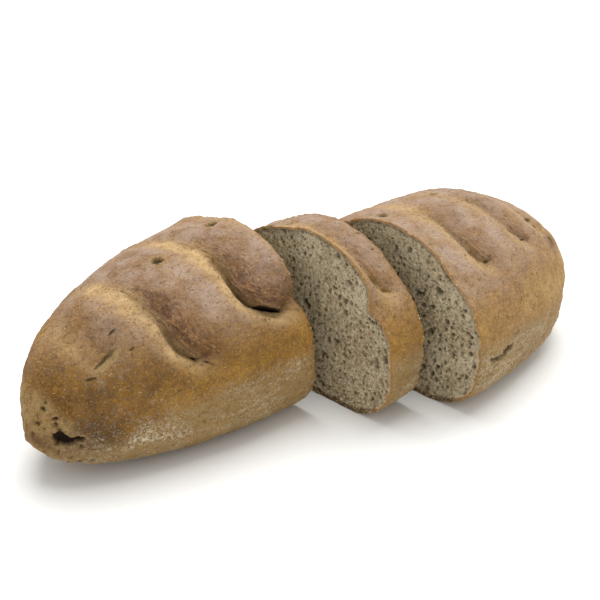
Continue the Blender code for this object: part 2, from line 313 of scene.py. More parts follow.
# holes and tears, lengths in millimetres: x, angle, length, width, depth, turn down from +x, overhang of the upper
# lip, how dark the painted shade inside is
tears = {
    "left": (
        (-72.2, 95.2, 6.2, 5.4, 3.4, 0, 0, 0.72),
        (-33.2, 88.6, 7.2, 5.8, 3.4, 0, 0, 0.68),
        (-40.4, 86.5, 2.6, 1.4, 0.9, 0, 0, 0.45),
        (-39.4, 146.0, 17.2, 2.6, 5.8, 26, 1.8, 1.2),
        (-82.4, 156.8, 3, 1.3, 1.6, 30, 0.3, 0.95),
        (-78.9, 160.3, 2.4, 1, 1, 20, 0, 0.75),
        (-45.5, 151.0, 2, 0.9, 0.8, -60, 0, 0.7),
        (-38.6, 149.6, 15, 4.2, 0.5, 24, 0, 0.0),
        (-119, 136.2, 13, 2.2, 1.4, -20, 0.4, 0.36),
        (-118, 138.2, 11, 4, 0.3, -20, 0, 0.0),
        (-126.2, 144.3, 5.2, 1.5, 1.2, 8, 0.3, 0.50),
        (-112.1, 124.0, 4.8, 0.9, 0.9, -14, 0, 0.60),
        (-108.2, 138.5, 3.8, 0.9, 0.9, -25, 0, 0.60),
        (-140.2, 181.2, 9.4, 7.4, 5.8, 6, 0, 1.3),
        (-136.2, 181.2, 9, 4.2, 3.6, 2, 0.4, 1.1),
        (-141.2, 162.5, 2.8, 1.4, 1.2, 0, 0, 0.9),
        (-144, 147.0, 2.4, 3, 1.2, 0, 0, 0.8),
        (-131, 190.0, 3.4, 1, 0.8, 10, 0, 0.6),
    ),
    "slice": (
        (-15, 133.0, 9, 4, 1.6, 44, 0.5, 0.15),
        (-3.2, 108.5, 3.4, 0.9, 0.8, 30, 0, 0.75),
        (-4.4, 119.5, 1.5, 1, 0.9, 0, 0, 0.65),
        (-10.5, 141.0, 5, 2.6, 1, 50, 0.4, 0.10),
    ),
    "right": (
        (5.7, 82.2, 6.2, 5.2, 3, 0, 0, 0.66),
        (54.6, 77.0, 6.6, 5.2, 3, 0, 0, 0.62),
        (89, 122.0, 5.6, 2.8, 1.6, 10, 0, 0.60),
        (88.6, 128.3, 5, 2, 1.2, 20, 0, 0.35),
        (27.6, 135.6, 3, 1.2, 1.4, 20, 0.3, 0.60),
        (30, 134.2, 1.8, 0.8, 0.9, -50, 0, 0.55),
        (26.2, 137.4, 1.6, 0.8, 0.8, 60, 0, 0.6),
        (66.7, 133.8, 3.4, 1.1, 1, 15, 0, 0.50),
        (16.1, 128.0, 1.3, 1.1, 0.9, 0, 0, 0.75),
        (13.2, 141.5, 3, 0.9, 0.6, 60, 0, 0.35),
        (15, 181.8, 14, 4, 2.2, 3, 0.8, 0.62),
        (24, 181.0, 11, 6.2, 2.6, -8, 0.6, 0.70),
        (31.2, 180.0, 7.2, 3, 1.6, -20, 0.3, 0.55),
        (4, 178.0, 7.5, 0.8, 0.8, -12, 0.3, 0.60),
        (93, 142.0, 8.4, 5, 1.4, 66, 0, 0.62),
    ),
}


def onLoaf(x, angle):
    return smoothLoaf(np.array([x]), np.array([angle]))[0]


def tearFrame(x, angle, turn):  # directions along and across a tear, and out of the crust
    base = onLoaf(x, angle)
    along = onLoaf(x + 1e-4, angle) - base
    along /= np.linalg.norm(along)
    normal = np.cross(along, onLoaf(x, angle + 1e-4) - base)
    normal /= np.linalg.norm(normal)
    if normal @ (base - np.array([x, 0, loaf["belt"]])) < 0:
        normal = -normal
    across = np.cross(normal, along)
    turned = along * math.cos(turn) - across * math.sin(turn)
    return turned, np.cross(normal, turned), normal


def cutTears(points, side):  # dents the crust points in place, returns the painted shade inside each dent and how torn each one is
    holeShade, torn = np.zeros(len(points)), np.zeros(len(points))
    for x, angle, length, width, depth, turn, lip, darkness in tears[side]:
        x, length, width, depth, lip = (value / 1000 for value in (x, length, width, depth, lip))
        along, across, normal = tearFrame(x, math.radians(angle), math.radians(turn))
        gap = points - centreOf(x, math.radians(angle))
        u, v, w = gap @ along, gap @ across, gap @ normal
        near = (np.abs(w) < 0.012) & (np.hypot(u, v) < length + 0.006)
        ragged = 1 + 0.26 * softNoise(points, 0.0016, 71) + 0.16 * softNoise(points, 0.0045, 72)
        reach = np.hypot(u / (length / 2), v / (width / 2)) / ragged
        dent = np.where(near, np.sqrt(np.clip(1 - reach**2, 0, 1)), 0)
        rim = np.where(near, bell(reach - 1.15, 0.35), 0)
        points -= normal * (depth * dent - 0.00012 * rim)[:, None]
        if lip:
            over = bell(v - width / 2, 0.6 * width + 0.001) * np.exp(-((u / (length * 0.42)) ** 4))
            over = np.where(near & (v > -0.2 * width), over * (1 - dent), 0)
            points += (0.45 * normal - across) * (lip * over)[:, None]
        holeShade = np.maximum(holeShade, easeStep(0.0, 0.7, dent) * darkness)
        torn = np.maximum(torn, np.where(near, 1 - easeStep(0.9, 1.6, reach), 0) * min(1.0, width / 0.003))
    return holeShade, torn


def centreOf(x, angle):
    at = np.array([x]), np.array([angle])
    base = smoothLoaf(*at)
    relief = slashField(*at)["relief"] + lumpHeight(*at)
    return (base + awayFromCore(base) * relief[:, None])[0]


crustLook = {
    "lumpy": 0.00044,  # heights of the relief, from broad lumps to fine grain
    "dimple": 0.00036,
    "grain": 0.00026,
    "wrinkle": 0.00160,  # on the brown flanks of the lobes
    "wrinkles": ((0.0021, 0.0055, 31, 1.0), (0.0034, 0.0090, 34, 1.1)),  # width, length, salt, share of the height
    "foldZone": 0.00060,  # ridges along the foot, and how far apart they are
    "foldGap": 0.00155,
    "edgeChip": 0.0009,
    "endRough": 0.0008,
    "pits": (0.0062, 0.34, (0.0003, 0.0008), 51),  # cell, share of cells with a pit, radius, salt
    "endPits": (0.0036, 0.92, (0.0004, 0.0014), 64),
    # floury places: x, angle, reach along and around, strength; lengths in millimetres
    "flourSpots": ((-108.7, 187.0, 13, 5, 1.0), (-121.5, 193.0, 6, 3, 0.9),
                   (-120, 147.0, 8, 8, 0.40), (-40.5, 177.5, 6, 4, 0.55),
                   (-98, 193.0, 15, 4, 0.45), (-116, 179.0, 20, 12, 0.26)),
    # reddish brown places, then places baked darker or paler: x, angle, reach, strength
    "redSpots": ((-139.5, 187, 9, 0.90), (-144, 194, 9, 0.75), (-44, 139, 6, 0.80),
                 (-36, 142, 5, 0.70), (-119, 135, 6, 0.40), (92.6, 141, 5.5, 0.75)),
    "bakeSpots": ((-120, 166, 16, 0.10), (-100, 162, 18, 0.10), (-123, 184, 10, 0.16),
                  (-60, 163, 20, 0.06), (-30, 128, 12, 0.16), (-96, 147, 7, 0.12),
                  (-137, 188, 14, 0.42), (92.8, 142, 6.5, 0.34), (70, 166, 22, -0.16),
                  (64, 108, 10, 0.14)),
    # how dark the crust is baked, and how much more on the lit top, right of the middle, at the right and the left end
    "baked": {"all": 0.46, "litTop": 0.08, "right": -0.09, "rightEnd": -0.30, "leftEnd": 0.17, "clouds": 0.10},
}


def footLine(x):  # height up to which the side is pale and wrinkled
    line = 0.023 + 0.014 * easeStep(-0.126, -0.070, x)
    return line - 0.010 * easeStep(0.030, 0.095, x)


def pulledPlaces(x, angle, pull, cuts):  # the lobes lean over their slashes, but not on a cut or at a tip
    keep = 1 - easeStep(0.90, 0.97, np.abs(x) / bySide(x, loaf["reach"]))
    pulledAngle = angle + keep * pull[:, 1] / loaf["roll"]
    for cut in cuts:
        keep = keep * easeStep(0.0, 0.004, np.abs(x - cut))
    return x + keep * pull[:, 0], pulledAngle


def crustGrain(base, field):
    fine = crustLook["lumpy"] * layeredNoise(base, 0.011, 11)
    fine += crustLook["dimple"] * softNoise(base, 0.0042, 15)
    fine += crustLook["grain"] * (softNoise(base, 0.0024, 21) + 0.6 * softNoise(base, 0.0015, 25))
    for width, length, salt, share in crustLook["wrinkles"]:
        strokes = np.stack([field["across"] / width, field["along"] / length, base[:, 2] / 0.02], axis=-1)
        fine += share * crustLook["wrinkle"] * field["lines"] * softNoise(strokes, 1.0, salt)
    return fine


def footFolds(x, base, foot):  # how folded the side is, and its ridges from -1 to 1
    z = base[:, 2]
    patch = easeStep(-0.35, 0.30, layeredNoise(base * np.array([0.5, 1, 1]), 0.014, 41))
    folded = easeStep(0.010, 0.017, z) * foot * patch * fade(0.035, 0.060, x)
    folded *= 1 - 0.75 * (x < 0) * fade(-0.092, -0.070, x)
    tilt = z - 0.10 * np.clip(x + 0.07, -0.03, 0.03) * (x < 0)
    wavy = tilt + 0.0016 * layeredNoise(base, 0.012, 42)
    folds = np.stack([base[:, 0] / 0.012, base[:, 1] / 0.03, wavy / crustLook["foldGap"]], axis=-1)
    return folded, 1 - 2 * np.abs(softNoise(folds, 1.0, 43))


def roughEnd(base, side):  # the open, rough place at the left tip: where it is, its relief, and its pits
    if side != "left":
        return [np.zeros(len(base))] * 3
    x, y, z = base.T
    split = x + 0.55 * z - 0.20 * y + 0.0026 * layeredNoise(base, 0.010, 61)
    zone = fade(-0.1165, -0.1115, split) * fade(0.046, 0.055, z)
    pits, level = hollows(base, *crustLook["endPits"])
    relief = zone * (crustLook["endRough"] * layeredNoise(base, 0.0048, 62) - 1.2 * pits)
    return zone, relief, zone * level * (pits > 0.00045)


def flourOn(x, angle, base, foot, folded, ridge):
    flour = 0.42 * foot * easeStep(-0.2, 0.6, layeredNoise(base, 0.012, 66))
    patchy = easeStep(-0.5, 0.3, layeredNoise(base, 0.005, 67))
    for *place, much in crustLook["flourSpots"]:
        flour += much * onSpot(x, angle, *place) * patchy
    flour += 0.22 * foot * (x > 0) + 0.35 * folded * (ridge > 0.45)
    return flour + 0.06 * (x > -0.135) * (base[:, 1] < -0.009)


def chipEdges(points, x, base, out, onFloor, cuts):  # chips the crust beside a cut in place, returns how much is rim
    edge = np.zeros(len(x))
    for cut in cuts:
        away = np.abs(x - cut)
        close = bell(away, 0.0015)
        chips = np.clip(0.25 + 1.2 * layeredNoise(base, 0.0030, 81, 2), 0, 1.3)
        chips = chips * (0.55 + 0.75 * fade(0.030, 0.060, base[:, 2]))
        points -= out * (crustLook["edgeChip"] * close * chips * onFloor)[:, None]
        points[:, 0] += 0.0004 * close * softNoise(base, 0.0022, 84)
        edge = np.maximum(edge, bell(away, 0.0007 + 0.0007 * chips))
    return edge


def bakedTone(x, angle, base, litTop):
    much = crustLook["baked"]
    bake = much["all"] + much["litTop"] * litTop + much["right"] * easeStep(-0.06, 0.03, x)
    bake += much["rightEnd"] * easeStep(0.080, 0.112, x) + much["leftEnd"] * fade(-0.128, -0.070, x)
    for *place, more in crustLook["bakeSpots"]:
        bake += more * onSpot(x, angle, *place)
    return bake + much["clouds"] * (layeredNoise(base, 0.026, 91) + layeredNoise(base, 0.007, 94))


def crustPoints(x, angle, side, cuts):  # points of the crust, and marks that its material reads
    field = slashField(x, angle)
    base = smoothLoaf(*pulledPlaces(x, angle, field["pull"], cuts))
    out, z = awayFromCore(base), base[:, 2]
    onFloor = easeStep(0.0005, 0.004, z)
    foot = 1 - easeStep(-0.0070, 0.0050, z - footLine(x) - 0.0035 * layeredNoise(base, 0.020, 65))
    folded, ridge = footFolds(x, base, foot)
    pits, pitLevel = hollows(base, *crustLook["pits"])
    endZone, endRelief, endLevel = roughEnd(base, side)
    pitLevel = np.maximum(pitLevel, endLevel)
    flour = flourOn(x, angle, base, foot, folded, ridge)
    fine = crustGrain(base, field) + crustLook["foldZone"] * folded * (ridge - 0.4) - 0.8 * pits + endRelief
    fine += 0.00024 * easeStep(0.35, 1.0, flour) * softNoise(base, 0.0012, 68)
    points = base + out * (field["relief"] + lumpHeight(x, angle) + fine * onFloor)[:, None]
    edge = chipEdges(points, x, base, out, onFloor, cuts)
    holeShade, torn = cutTears(points, side)
    points[:, 2] = np.maximum(points[:, 2], 0)

    # the top of the loaf, where the light falls; its mark carries a painted sheen, greyish pink over the crust
    litTop = easeStep(0.048, 0.076, z) * (1 - 0.45 * fade(-0.125, -0.085, x))
    red = np.maximum(field["flank"], 0.55 * endZone * easeStep(-0.1, 0.5, layeredNoise(base, 0.0065, 63)))
    for *place, much in crustLook["redSpots"]:
        red = np.maximum(red, much * onSpot(x, angle, *place))
    marks = {
        "bake": np.clip(bakedTone(x, angle, base, litTop), 0, 1),
        "litTop": litTop * (1 - 0.75 * field["bank"]) * (1 - 0.65 * red),
        "bank": np.clip(field["bank"] * (1 + 0.5 * layeredNoise(base, 0.008, 97)), 0, 1),
        "flank": red,
        "lines": field["lines"],
        "foot": foot,
        "flour": np.clip(flour * (1 - 0.7 * holeShade), 0, 1.5),
        "torn": np.maximum(torn, 0.8 * endZone * easeStep(0.022, 0.034, z)),
        # painted shade in the holes and tears, and in the pits of the rough left end
        "holeShade": np.clip(np.maximum(holeShade, 0.6 * pitLevel * endZone), 0, 1.4),
        "shade": np.clip(field["crease"] + 0.35 * pitLevel, 0, 1),
        "rim": edge,
        "warm": (1 - 0.8 * litTop) * fade(-0.045, 0.035, x) * (1 - 0.5 * foot),
        "stripA": field["across"],  # place across and along the nearest slash
        "stripB": field["along"],
    }
    return points, marks


crumbLook = {
    # cell, share of cells with a pore, radius, salt, how dark the painted shade in it is
    "pores": ((0.0060, 0.55, (0.0009, 0.0024), 101, 0.88), (0.0034, 0.74, (0.0007, 0.0015), 111, 0.74),
              (0.0019, 0.74, (0.00042, 0.00085), 121, 0.40)),
    "rough": 0.00034,
    "tear": 0.00070,
    "skin": 0.00085,  # thickness of the crust where it was cut
    "under": 0.0030,  # and underneath
}


def facePoints(edge, shares, centre, inward, marks, salt):  # crumb inside the ring of the crust on the cut
    points, border = [], []
    for share, stride in shares:
        ring = edge[::stride]
        points.append(centre + share * (ring - centre))
        border.append((1 - share) * np.linalg.norm((ring - centre)[:, 1:], axis=1))
    points, border = np.concatenate(points), np.concatenate(border)
    seen = points + np.array([salt * 0.13, 0, 0])
    wobble = np.stack([np.zeros(len(seen)), softNoise(seen, 0.0021, 131), softNoise(seen, 0.0021, 132)], axis=-1)
    bent = (seen + 0.00055 * wobble) * np.array([0, 1, 1]) + np.array([salt * 0.0211, salt * 0.137, salt * 0.071])
    inside = easeStep(0.0009, 0.0022, border)
    crowded = 1 + 0.30 * layeredNoise(seen, 0.016, 135, 2)
    pore, dark = np.zeros(len(points)), np.zeros(len(points))
    # the pores get painted shade, darker towards their middle
    for cell, share, sizes, poreSalt, darkness in crumbLook["pores"]:
        depth, level = hollows(bent, cell, share, sizes, poreSalt + salt, flat=True)
        pore, dark = np.maximum(pore, depth), np.maximum(dark, easeStep(0.25, 0.95, level) * darkness * crowded)
    rough = crumbLook["rough"] * layeredNoise(seen, 0.0013, 141)
    rough += crumbLook["tear"] * layeredNoise(seen, 0.007, 144)
    depth = pore * inside + rough * easeStep(0, 0.0012, border)
    points[:, 0] = centre[0] + (points[:, 0] - centre[0]) * fade(0, 0.003, border) + inward * depth
    low = 1 - easeStep(0.004, 0.010, points[:, 2])
    thick = crumbLook["skin"] * (1 - low + 0.7 * layeredNoise(seen, 0.0045, 151, 2)) + crumbLook["under"] * low
    own = {name: np.zeros(len(points)) for name in marks}
    own["holeShade"] = dark * inside
    own["rim"] = 1 - easeStep(0.75, 1.20, border / np.maximum(thick, 0.0002))
    own["foot"] = low
    own["shade"] = bell(border - thick - 0.0008, 0.0009) * easeStep(0.030, 0.060, points[:, 2])
    # painted light: the cut face is painted paler towards the top, where more light falls
    own["litTop"] = easeStep(0.030, 0.080, points[:, 2])
    return points, own


def ringAngles(count):  # closer together on the front and the crest, wider underneath
    fine = np.linspace(0, 2 * math.pi, 40001)
    outline = smoothLoaf(np.zeros_like(fine), fine)
    step = np.linalg.norm(np.diff(outline, axis=0), axis=1)
    middle = (fine[1:] + fine[:-1]) / 2
    shown = easeStep(0.7, 1.0, middle) * fade(3.9, 4.3, middle)
    under = easeStep(4.3, 4.6, middle) * fade(4.9, 5.2, middle)
    length = np.concatenate([[0], np.cumsum(step * (0.80 + 0.55 * shown - 0.30 * under))])
    return np.interp(np.arange(count) / count * length[-1], length, fine)


def rowPlaces(start, end, spacing):
    x = start + (end - start) * np.sin(np.linspace(0, 1, 4001) * math.pi / 2)
    line = smoothLoaf(x, np.full_like(x, 2.3))
    length = np.concatenate([[0], np.cumsum(np.linalg.norm(np.diff(line, axis=0), axis=1))])
    return np.interp(np.linspace(0, length[-1], int(length[-1] / spacing)), length, x)


def crustRows(places, angles):  # each row halves its points as the loaf narrows
    rows, full = [], None
    for x in places:
        ring = smoothLoaf(np.full(len(angles), x), angles)
        girth = np.linalg.norm(np.diff(ring, axis=0), axis=1).sum()
        full = full or girth
        stride = 1
        while stride < 16 and girth / full * stride < 0.56:
            stride *= 2
        if rows:
            stride = min(max(stride, rows[-1][1]), rows[-1][1] * 2)
        rows.append((x, stride))
    return rows


def faceRows(rings):  # share of the way out from the middle, and which points of the ring are taken
    rows, stride = [], 1
    for step in range(1, rings):
        share = 1 - step / rings
        if share * stride < 0.42 and stride < 16:
            stride *= 2
        rows.append((share, stride))
    return rows


def bridge(a, b):  # faces between two rings of the same or half the points
    n, m = len(a), len(b)
    faces = []
    if n == 1:
        faces = [(a[0], b[(k + 1) % m], b[k]) for k in range(m)]
    elif m == 1:
        faces = [(a[k], a[(k + 1) % n], b[0]) for k in range(n)]
    elif n == m:
        faces = [(a[k], a[(k + 1) % n], b[(k + 1) % n], b[k]) for k in range(n)]
    elif n == 2 * m:
        for k in range(m):
            fine = a[2 * k], a[2 * k + 1], a[(2 * k + 2) % n]
            faces += [(fine[0], fine[1], b[k]), (fine[1], b[(k + 1) % m], b[k]), (fine[1], fine[2], b[(k + 1) % m])]
    else:
        for k in range(n):
            fine = b[2 * k], b[2 * k + 1], b[(2 * k + 2) % m]
            faces += [(a[k], fine[1], fine[0]), (a[k], a[(k + 1) % n], fine[1]), (a[(k + 1) % n], fine[2], fine[1])]
    return faces


def addObject(name, data):
    made = bpy.data.objects.new(name, data)
    bpy.context.scene.collection.objects.link(made)
    return made


def closedMesh(name, blocks, materials, offset):
    # blocks are (points, ring sizes, material, marks) one after another along the piece
    points = np.concatenate([block[0] for block in blocks]) + offset
    rings, at = [], 0
    for block in blocks:
        for size in block[1]:
            rings.append((list(range(at, at + size)), block[2]))
            at += size
    faces, slots = [], []
    for (first, slotA), (second, slotB) in zip(rings, rings[1:]):
        made = bridge(first, second)
        faces += made
        slots += [max(slotA, slotB)] * len(made)
    one, two, three = (points[[face[corner] for face in faces]] for corner in range(3))
    if np.einsum("ij,ij->i", one, np.cross(two, three)).sum() < 0:  # the faces point outwards
        faces = [face[::-1] for face in faces]
    mesh = bpy.data.meshes.new(name)
    mesh.from_pydata(points.tolist(), [], faces)
    mesh.polygons.foreach_set("material_index", np.array(slots, dtype=np.int32))
    mesh.polygons.foreach_set("use_smooth", np.ones(len(faces), dtype=bool))
    for title in blocks[0][3]:
        values = np.concatenate([block[3][title] for block in blocks]).astype(np.float32)
        mesh.attributes.new(title, "FLOAT", "POINT").data.foreach_set("value", values)
    for material in materials:
        mesh.materials.append(material)
    mesh.update()
    print(name, "triangles", sum(len(face) - 2 for face in faces))
    return addObject(name, mesh)


def linear(code):
    parts = [int(code[i : i + 2], 16) / 255 for i in (1, 3, 5)]
    return [p / 12.92 if p <= 0.04045 else ((p + 0.055) / 1.055) ** 2.4 for p in parts] + [1.0]


def addNode(tree, kind, inputs=None, **settings):
    made = tree.nodes.new(kind)
    for name, value in settings.items():
        setattr(made, name, value)
    for name, value in (inputs or {}).items():
        if isinstance(value, bpy.types.NodeSocket):
            tree.links.new(value, made.inputs[name])
        else:
            made.inputs[name].default_value = value
    return made


def mark(tree, name):
    return addNode(tree, "ShaderNodeAttribute", attribute_name=name).outputs["Fac"]


def grain(tree, coords, size, detail=3.0, rough=0.55):  # size of a blotch in metres
    inputs = {"Vector": coords, "Scale": 1 / size, "Detail": detail, "Roughness": rough}
    return addNode(tree, "ShaderNodeTexNoise", inputs).outputs["Fac"]


def span(tree, value, low, high, start=0.0, end=1.0):
    inputs = {"Value": value, "From Min": low, "From Max": high, "To Min": start, "To Max": end}
    return addNode(tree, "ShaderNodeMapRange", inputs).outputs["Result"]


def sums(tree, operation, a, b, clamp=False):
    return addNode(tree, "ShaderNodeMath", {0: a, 1: b}, operation=operation, use_clamp=clamp).outputs[0]


def times(tree, a, b, clamp=False):
    return sums(tree, "MULTIPLY", a, b, clamp)


def blendColour(tree, factor, a, b, kind="MIX"):  # a and b are colour codes or what other nodes give
    values = {0: factor, 6: a, 7: b}
    inputs = {place: linear(value) if isinstance(value, str) else value for place, value in values.items()}
    return addNode(tree, "ShaderNodeMix", inputs, data_type="RGBA", blend_type=kind, clamp_factor=True).outputs[2]


def ramp(tree, value, stops):
    made = addNode(tree, "ShaderNodeValToRGB", {"Fac": value})
    band = made.color_ramp
    for index, (place, code) in enumerate(stops):
        stop = band.elements[index] if index < 2 else band.elements.new(place)
        stop.position, stop.color = place, linear(code)
    return made.outputs["Color"]


def newMaterial(name, shine, roughness=0.5):
    material = bpy.data.materials.new(name)
    material.use_nodes = True
    tree = material.node_tree
    shader = tree.nodes["Principled BSDF"]
    shader.inputs["Specular IOR Level"].default_value = shine
    shader.inputs["Roughness"].default_value = roughness
    coords = addNode(tree, "ShaderNodeTexCoord").outputs["Object"]
    return material, tree, shader, coords


crustFinish = {
    "bakeStops": ((0.0, "#bd985d"), (0.28, "#a47d47"), (0.52, "#8c6638"), (0.78, "#714f2a"), (1.0, "#4d371e")),
    "bakeNoise": ((0.026, 0.12), (0.0085, 0.10), (0.0032, 0.12), (0.0015, 0.18), (0.0007, 0.16)),  # size, reach
    "warmTint": "#fff8a6",
    # colours laid over that in blotches where their mark is: colour; size, detail and roughness of the noise; its low
    # and high; how much is covered there
    "covers": {
        # painted sheen: greyish pink blotches on the top of the loaf, standing in for the light's reflection
        "litTop": ("#b09988", 0.010, 4, 0.55, 0.38, 0.62, 0.24, 0.80),
        "flank": ("#5f3318", 0.004, 4, 0.55, 0.30, 0.70, 0.50, 1.0),
        "bank": ("#ceac7a", 0.0055, 4, 0.65, 0.34, 0.62, 0.40, 1.0),
        "foot": ("#92794c", 0.0045, 4, 0.65, 0.32, 0.62, 0.40, 0.90),
        "torn": ("#a88d5d", 0.0035, 4, 0.55, 0.30, 0.60, 0.30, 0.90),
        "flour": ("#d8ccb2", 0.0015, 5, 0.70, 0.46, 0.62, 0.0, 0.85),
        "rim": ("#a0743a", 0.0025, 3, 0.55, 0.30, 0.60, 0.15, 0.75),
    },
    "specks": ((0.0019, 0.58, 0.68, 0.45, "#573618"), (0.0010, 0.59, 0.68, 0.50, "#57381a"),
               (0.0013, 0.62, 0.72, 0.36, "#cba668"), (0.0008, 0.62, 0.71, 0.38, "#d6b988")),
    # wrinkles on the flanks: across and along, then where the noise is a furrow, painted with shade, and where a ridge,
    # painted with a highlight
    "wrinkleSize": (0.0015, 0.0048),
    "wrinkleShadeAndHighlight": ((0.40, 0.52, 0.7, 0.0, "#4a2a15"), (0.54, 0.66, 0.0, 0.7, "#a8763f")),
    # painted shade: inside the holes, tears and pits, then in the slash creases
    "dark": "#2a190e",
    "shade": "#4a371c",
    "roughness": (0.58, 0.80),
    "bump": 0.00100,
}


def cover(tree, coords, colour, name):  # lays one of the covers over the colour
    code, size, detail, rough, low, high, least, most = crustFinish["covers"][name]
    blotches = span(tree, grain(tree, coords, size, detail, rough), low, high, least, most)
    share = times(tree, mark(tree, name), blotches, clamp=True)
    return blendColour(tree, share, colour, code)


def wrinkleLines(tree):  # noise stretched along the slashes
    sizes = zip("XY", ("stripA", "stripB"), crustFinish["wrinkleSize"])
    places = {axis: times(tree, mark(tree, name), 1 / size) for axis, name, size in sizes}
    strip = addNode(tree, "ShaderNodeCombineXYZ", places)
    noise = addNode(tree, "ShaderNodeTexNoise", {"Vector": strip.outputs[0], "Scale": 1.0, "Detail": 2.0})
    return noise.outputs["Fac"]


def crustMaterial():
    look = crustFinish
    material, tree, shader, coords = newMaterial("bakedCrust", 0.26)
    tone = mark(tree, "bake")
    for size, reach in look["bakeNoise"]:
        tone = sums(tree, "ADD", tone, span(tree, grain(tree, coords, size, 3, 0.6), 0.28, 0.72, -reach, reach))
    colour = ramp(tree, sums(tree, "ADD", tone, 0.0, clamp=True), look["bakeStops"])
    colour = blendColour(tree, mark(tree, "warm"), colour, look["warmTint"], "MULTIPLY")
    # painted sheen on the top, then the brown flanks
    for name in ("litTop", "flank"):
        colour = cover(tree, coords, colour, name)
    lines = wrinkleLines(tree)
    # painted shade in the wrinkle furrows and painted highlight on their ridges
    for low, high, atLow, atHigh, code in look["wrinkleShadeAndHighlight"]:
        wrinkled = times(tree, span(tree, lines, low, high, atLow, atHigh), mark(tree, "lines"))
        colour = blendColour(tree, wrinkled, colour, code)
    for name in ("bank", "foot", "torn"):
        colour = cover(tree, coords, colour, name)
    for size, low, high, much, code in look["specks"]:
        dots = span(tree, grain(tree, coords, size, 2, 0.5), low, high, 0.0, much)
        colour = blendColour(tree, dots, colour, code)
    for name in ("flour", "rim"):
        colour = cover(tree, coords, colour, name)
    colour = blendColour(tree, times(tree, mark(tree, "shade"), 0.85), colour, look["shade"])
    # painted shade inside the holes, tears and pits
    colour = blendColour(tree, span(tree, mark(tree, "holeShade"), 0.05, 0.95, 0.0, 0.96), colour, look["dark"])
    tree.links.new(colour, shader.inputs["Base Color"])
    wear = span(tree, grain(tree, coords, 0.004, 4), 0.3, 0.7, *look["roughness"])
    tree.links.new(wear, shader.inputs["Roughness"])
    finest = times(tree, grain(tree, coords, 0.0007, 2), 0.5)
    height = sums(tree, "ADD", grain(tree, coords, 0.0018, 4, 0.65), finest)
    wrinkles = times(tree, lines, times(tree, mark(tree, "lines"), 4.0))
    height = sums(tree, "ADD", height, wrinkles)
    bump = addNode(tree, "ShaderNodeBump", {"Height": height, "Strength": 1.0, "Distance": look["bump"]})
    tree.links.new(bump.outputs["Normal"], shader.inputs["Normal"])
    return material


crumbFinish = {
    "base": "#bba784",
    "pale": "#e0d4b4",
    "shade": "#86755a",
    # painted shade in the pores
    "pore": "#3a2f20",
    "rim": "#b07c3c",
    "under": "#59432c",
    "edgeLine": "#5a4632",
}


def crumbMaterial():
    look = crumbFinish
    material, tree, shader, coords = newMaterial("ryeCrumb", 0.22, 0.92)
    mottle = span(tree, grain(tree, coords, 0.0018, 4, 0.7), 0.36, 0.62, 0.0, 1.0)
    colour = blendColour(tree, mottle, look["shade"], look["base"])
    cloud = span(tree, grain(tree, coords, 0.016, 4), 0.38, 0.66, 0.0, 0.35)
    colour = blendColour(tree, cloud, colour, look["pale"])
    # painted light: paler towards the top of the cut face
    colour = blendColour(tree, times(tree, mark(tree, "litTop"), 0.20), colour, look["pale"])
    # painted highlights: pale specks where flakes of crumb catch the light
    for size, low, high, much in ((0.0012, 0.56, 0.66, 0.75), (0.0030, 0.62, 0.72, 0.60)):
        paintedGlints = span(tree, grain(tree, coords, size, 3, 0.6), low, high, 0.0, much)
        colour = blendColour(tree, paintedGlints, colour, look["pale"])
    # painted shade in small pores, too fine to model
    for size, reach, low, high in ((0.0012, 0.42, 0.46, 0.58), (0.0023, 0.42, 0.46, 0.56)):
        cells = addNode(tree, "ShaderNodeTexVoronoi", {"Vector": coords, "Scale": 1 / size, "Randomness": 1.0})
        smallPoreShade = span(tree, cells.outputs["Distance"], 0.10, reach, 0.62, 0.0)
        patchy = times(tree, smallPoreShade, span(tree, grain(tree, coords, size * 2.3, 3), low, high, 0.05, 1.0))
        colour = blendColour(tree, patchy, colour, look["pore"])
    # painted shade in the modelled pores
    colour = blendColour(tree, span(tree, mark(tree, "holeShade"), 0.10, 1.0, 0.0, 0.88), colour, look["pore"])
    colour = blendColour(tree, times(tree, mark(tree, "shade"), 0.55), colour, look["edgeLine"])
    skin = blendColour(tree, mark(tree, "foot"), look["rim"], look["under"])
    rim = times(tree, mark(tree, "rim"), span(tree, grain(tree, coords, 0.0016, 3), 0.3, 0.6, 0.45, 1.0))
    colour = blendColour(tree, rim, colour, skin)
    tree.links.new(colour, shader.inputs["Base Color"])
    dents = times(tree, cells.outputs["Distance"], 0.8)
    height = sums(tree, "ADD", grain(tree, coords, 0.0013, 4, 0.7), dents)
    bump = addNode(tree, "ShaderNodeBump", {"Height": height, "Strength": 0.9, "Distance": 0.0007})
    tree.links.new(bump.outputs["Normal"], shader.inputs["Normal"])
    return material


def plainMaterial(name, code, dark):  # for loose grains
    material, tree, shader, coords = newMaterial(name, 0.2, 0.95)
    tone = span(tree, grain(tree, coords, 0.004, 2), 0.35, 0.65)
    tree.links.new(blendColour(tree, tone, dark, code), shader.inputs["Base Color"])
    return material


# how many points run round each piece, how far apart its rows are in metres, and how many rings its cut faces have
leftPiece = {"points": 480, "spacing": 0.00073, "faceRings": 36}
slicePiece = {"points": 544, "spacing": 0.00068, "faceRings": (146, 58)}
rightPiece = {"points": 416, "spacing": 0.00086, "faceRings": 116}
crust, crumb = crustMaterial(), crumbMaterial()


def crustBlock(rows, angles, side, cuts):
    x = np.concatenate([np.full(len(angles[::stride]), place) for place, stride in rows])
    around = np.concatenate([angles[::stride] for _, stride in rows])
    points, marks = crustPoints(x, around, side, cuts)
    return points, [len(angles[::stride]) for _, stride in rows], 0, marks


def tipBlock(x, marks):
    drop = bySide(np.array(x), loaf["drop"])
    point = np.array([[x, 0, loaf["belt"] - float(drop)]])
    return point, [1], 0, {name: values[-1:] for name, values in marks.items()}


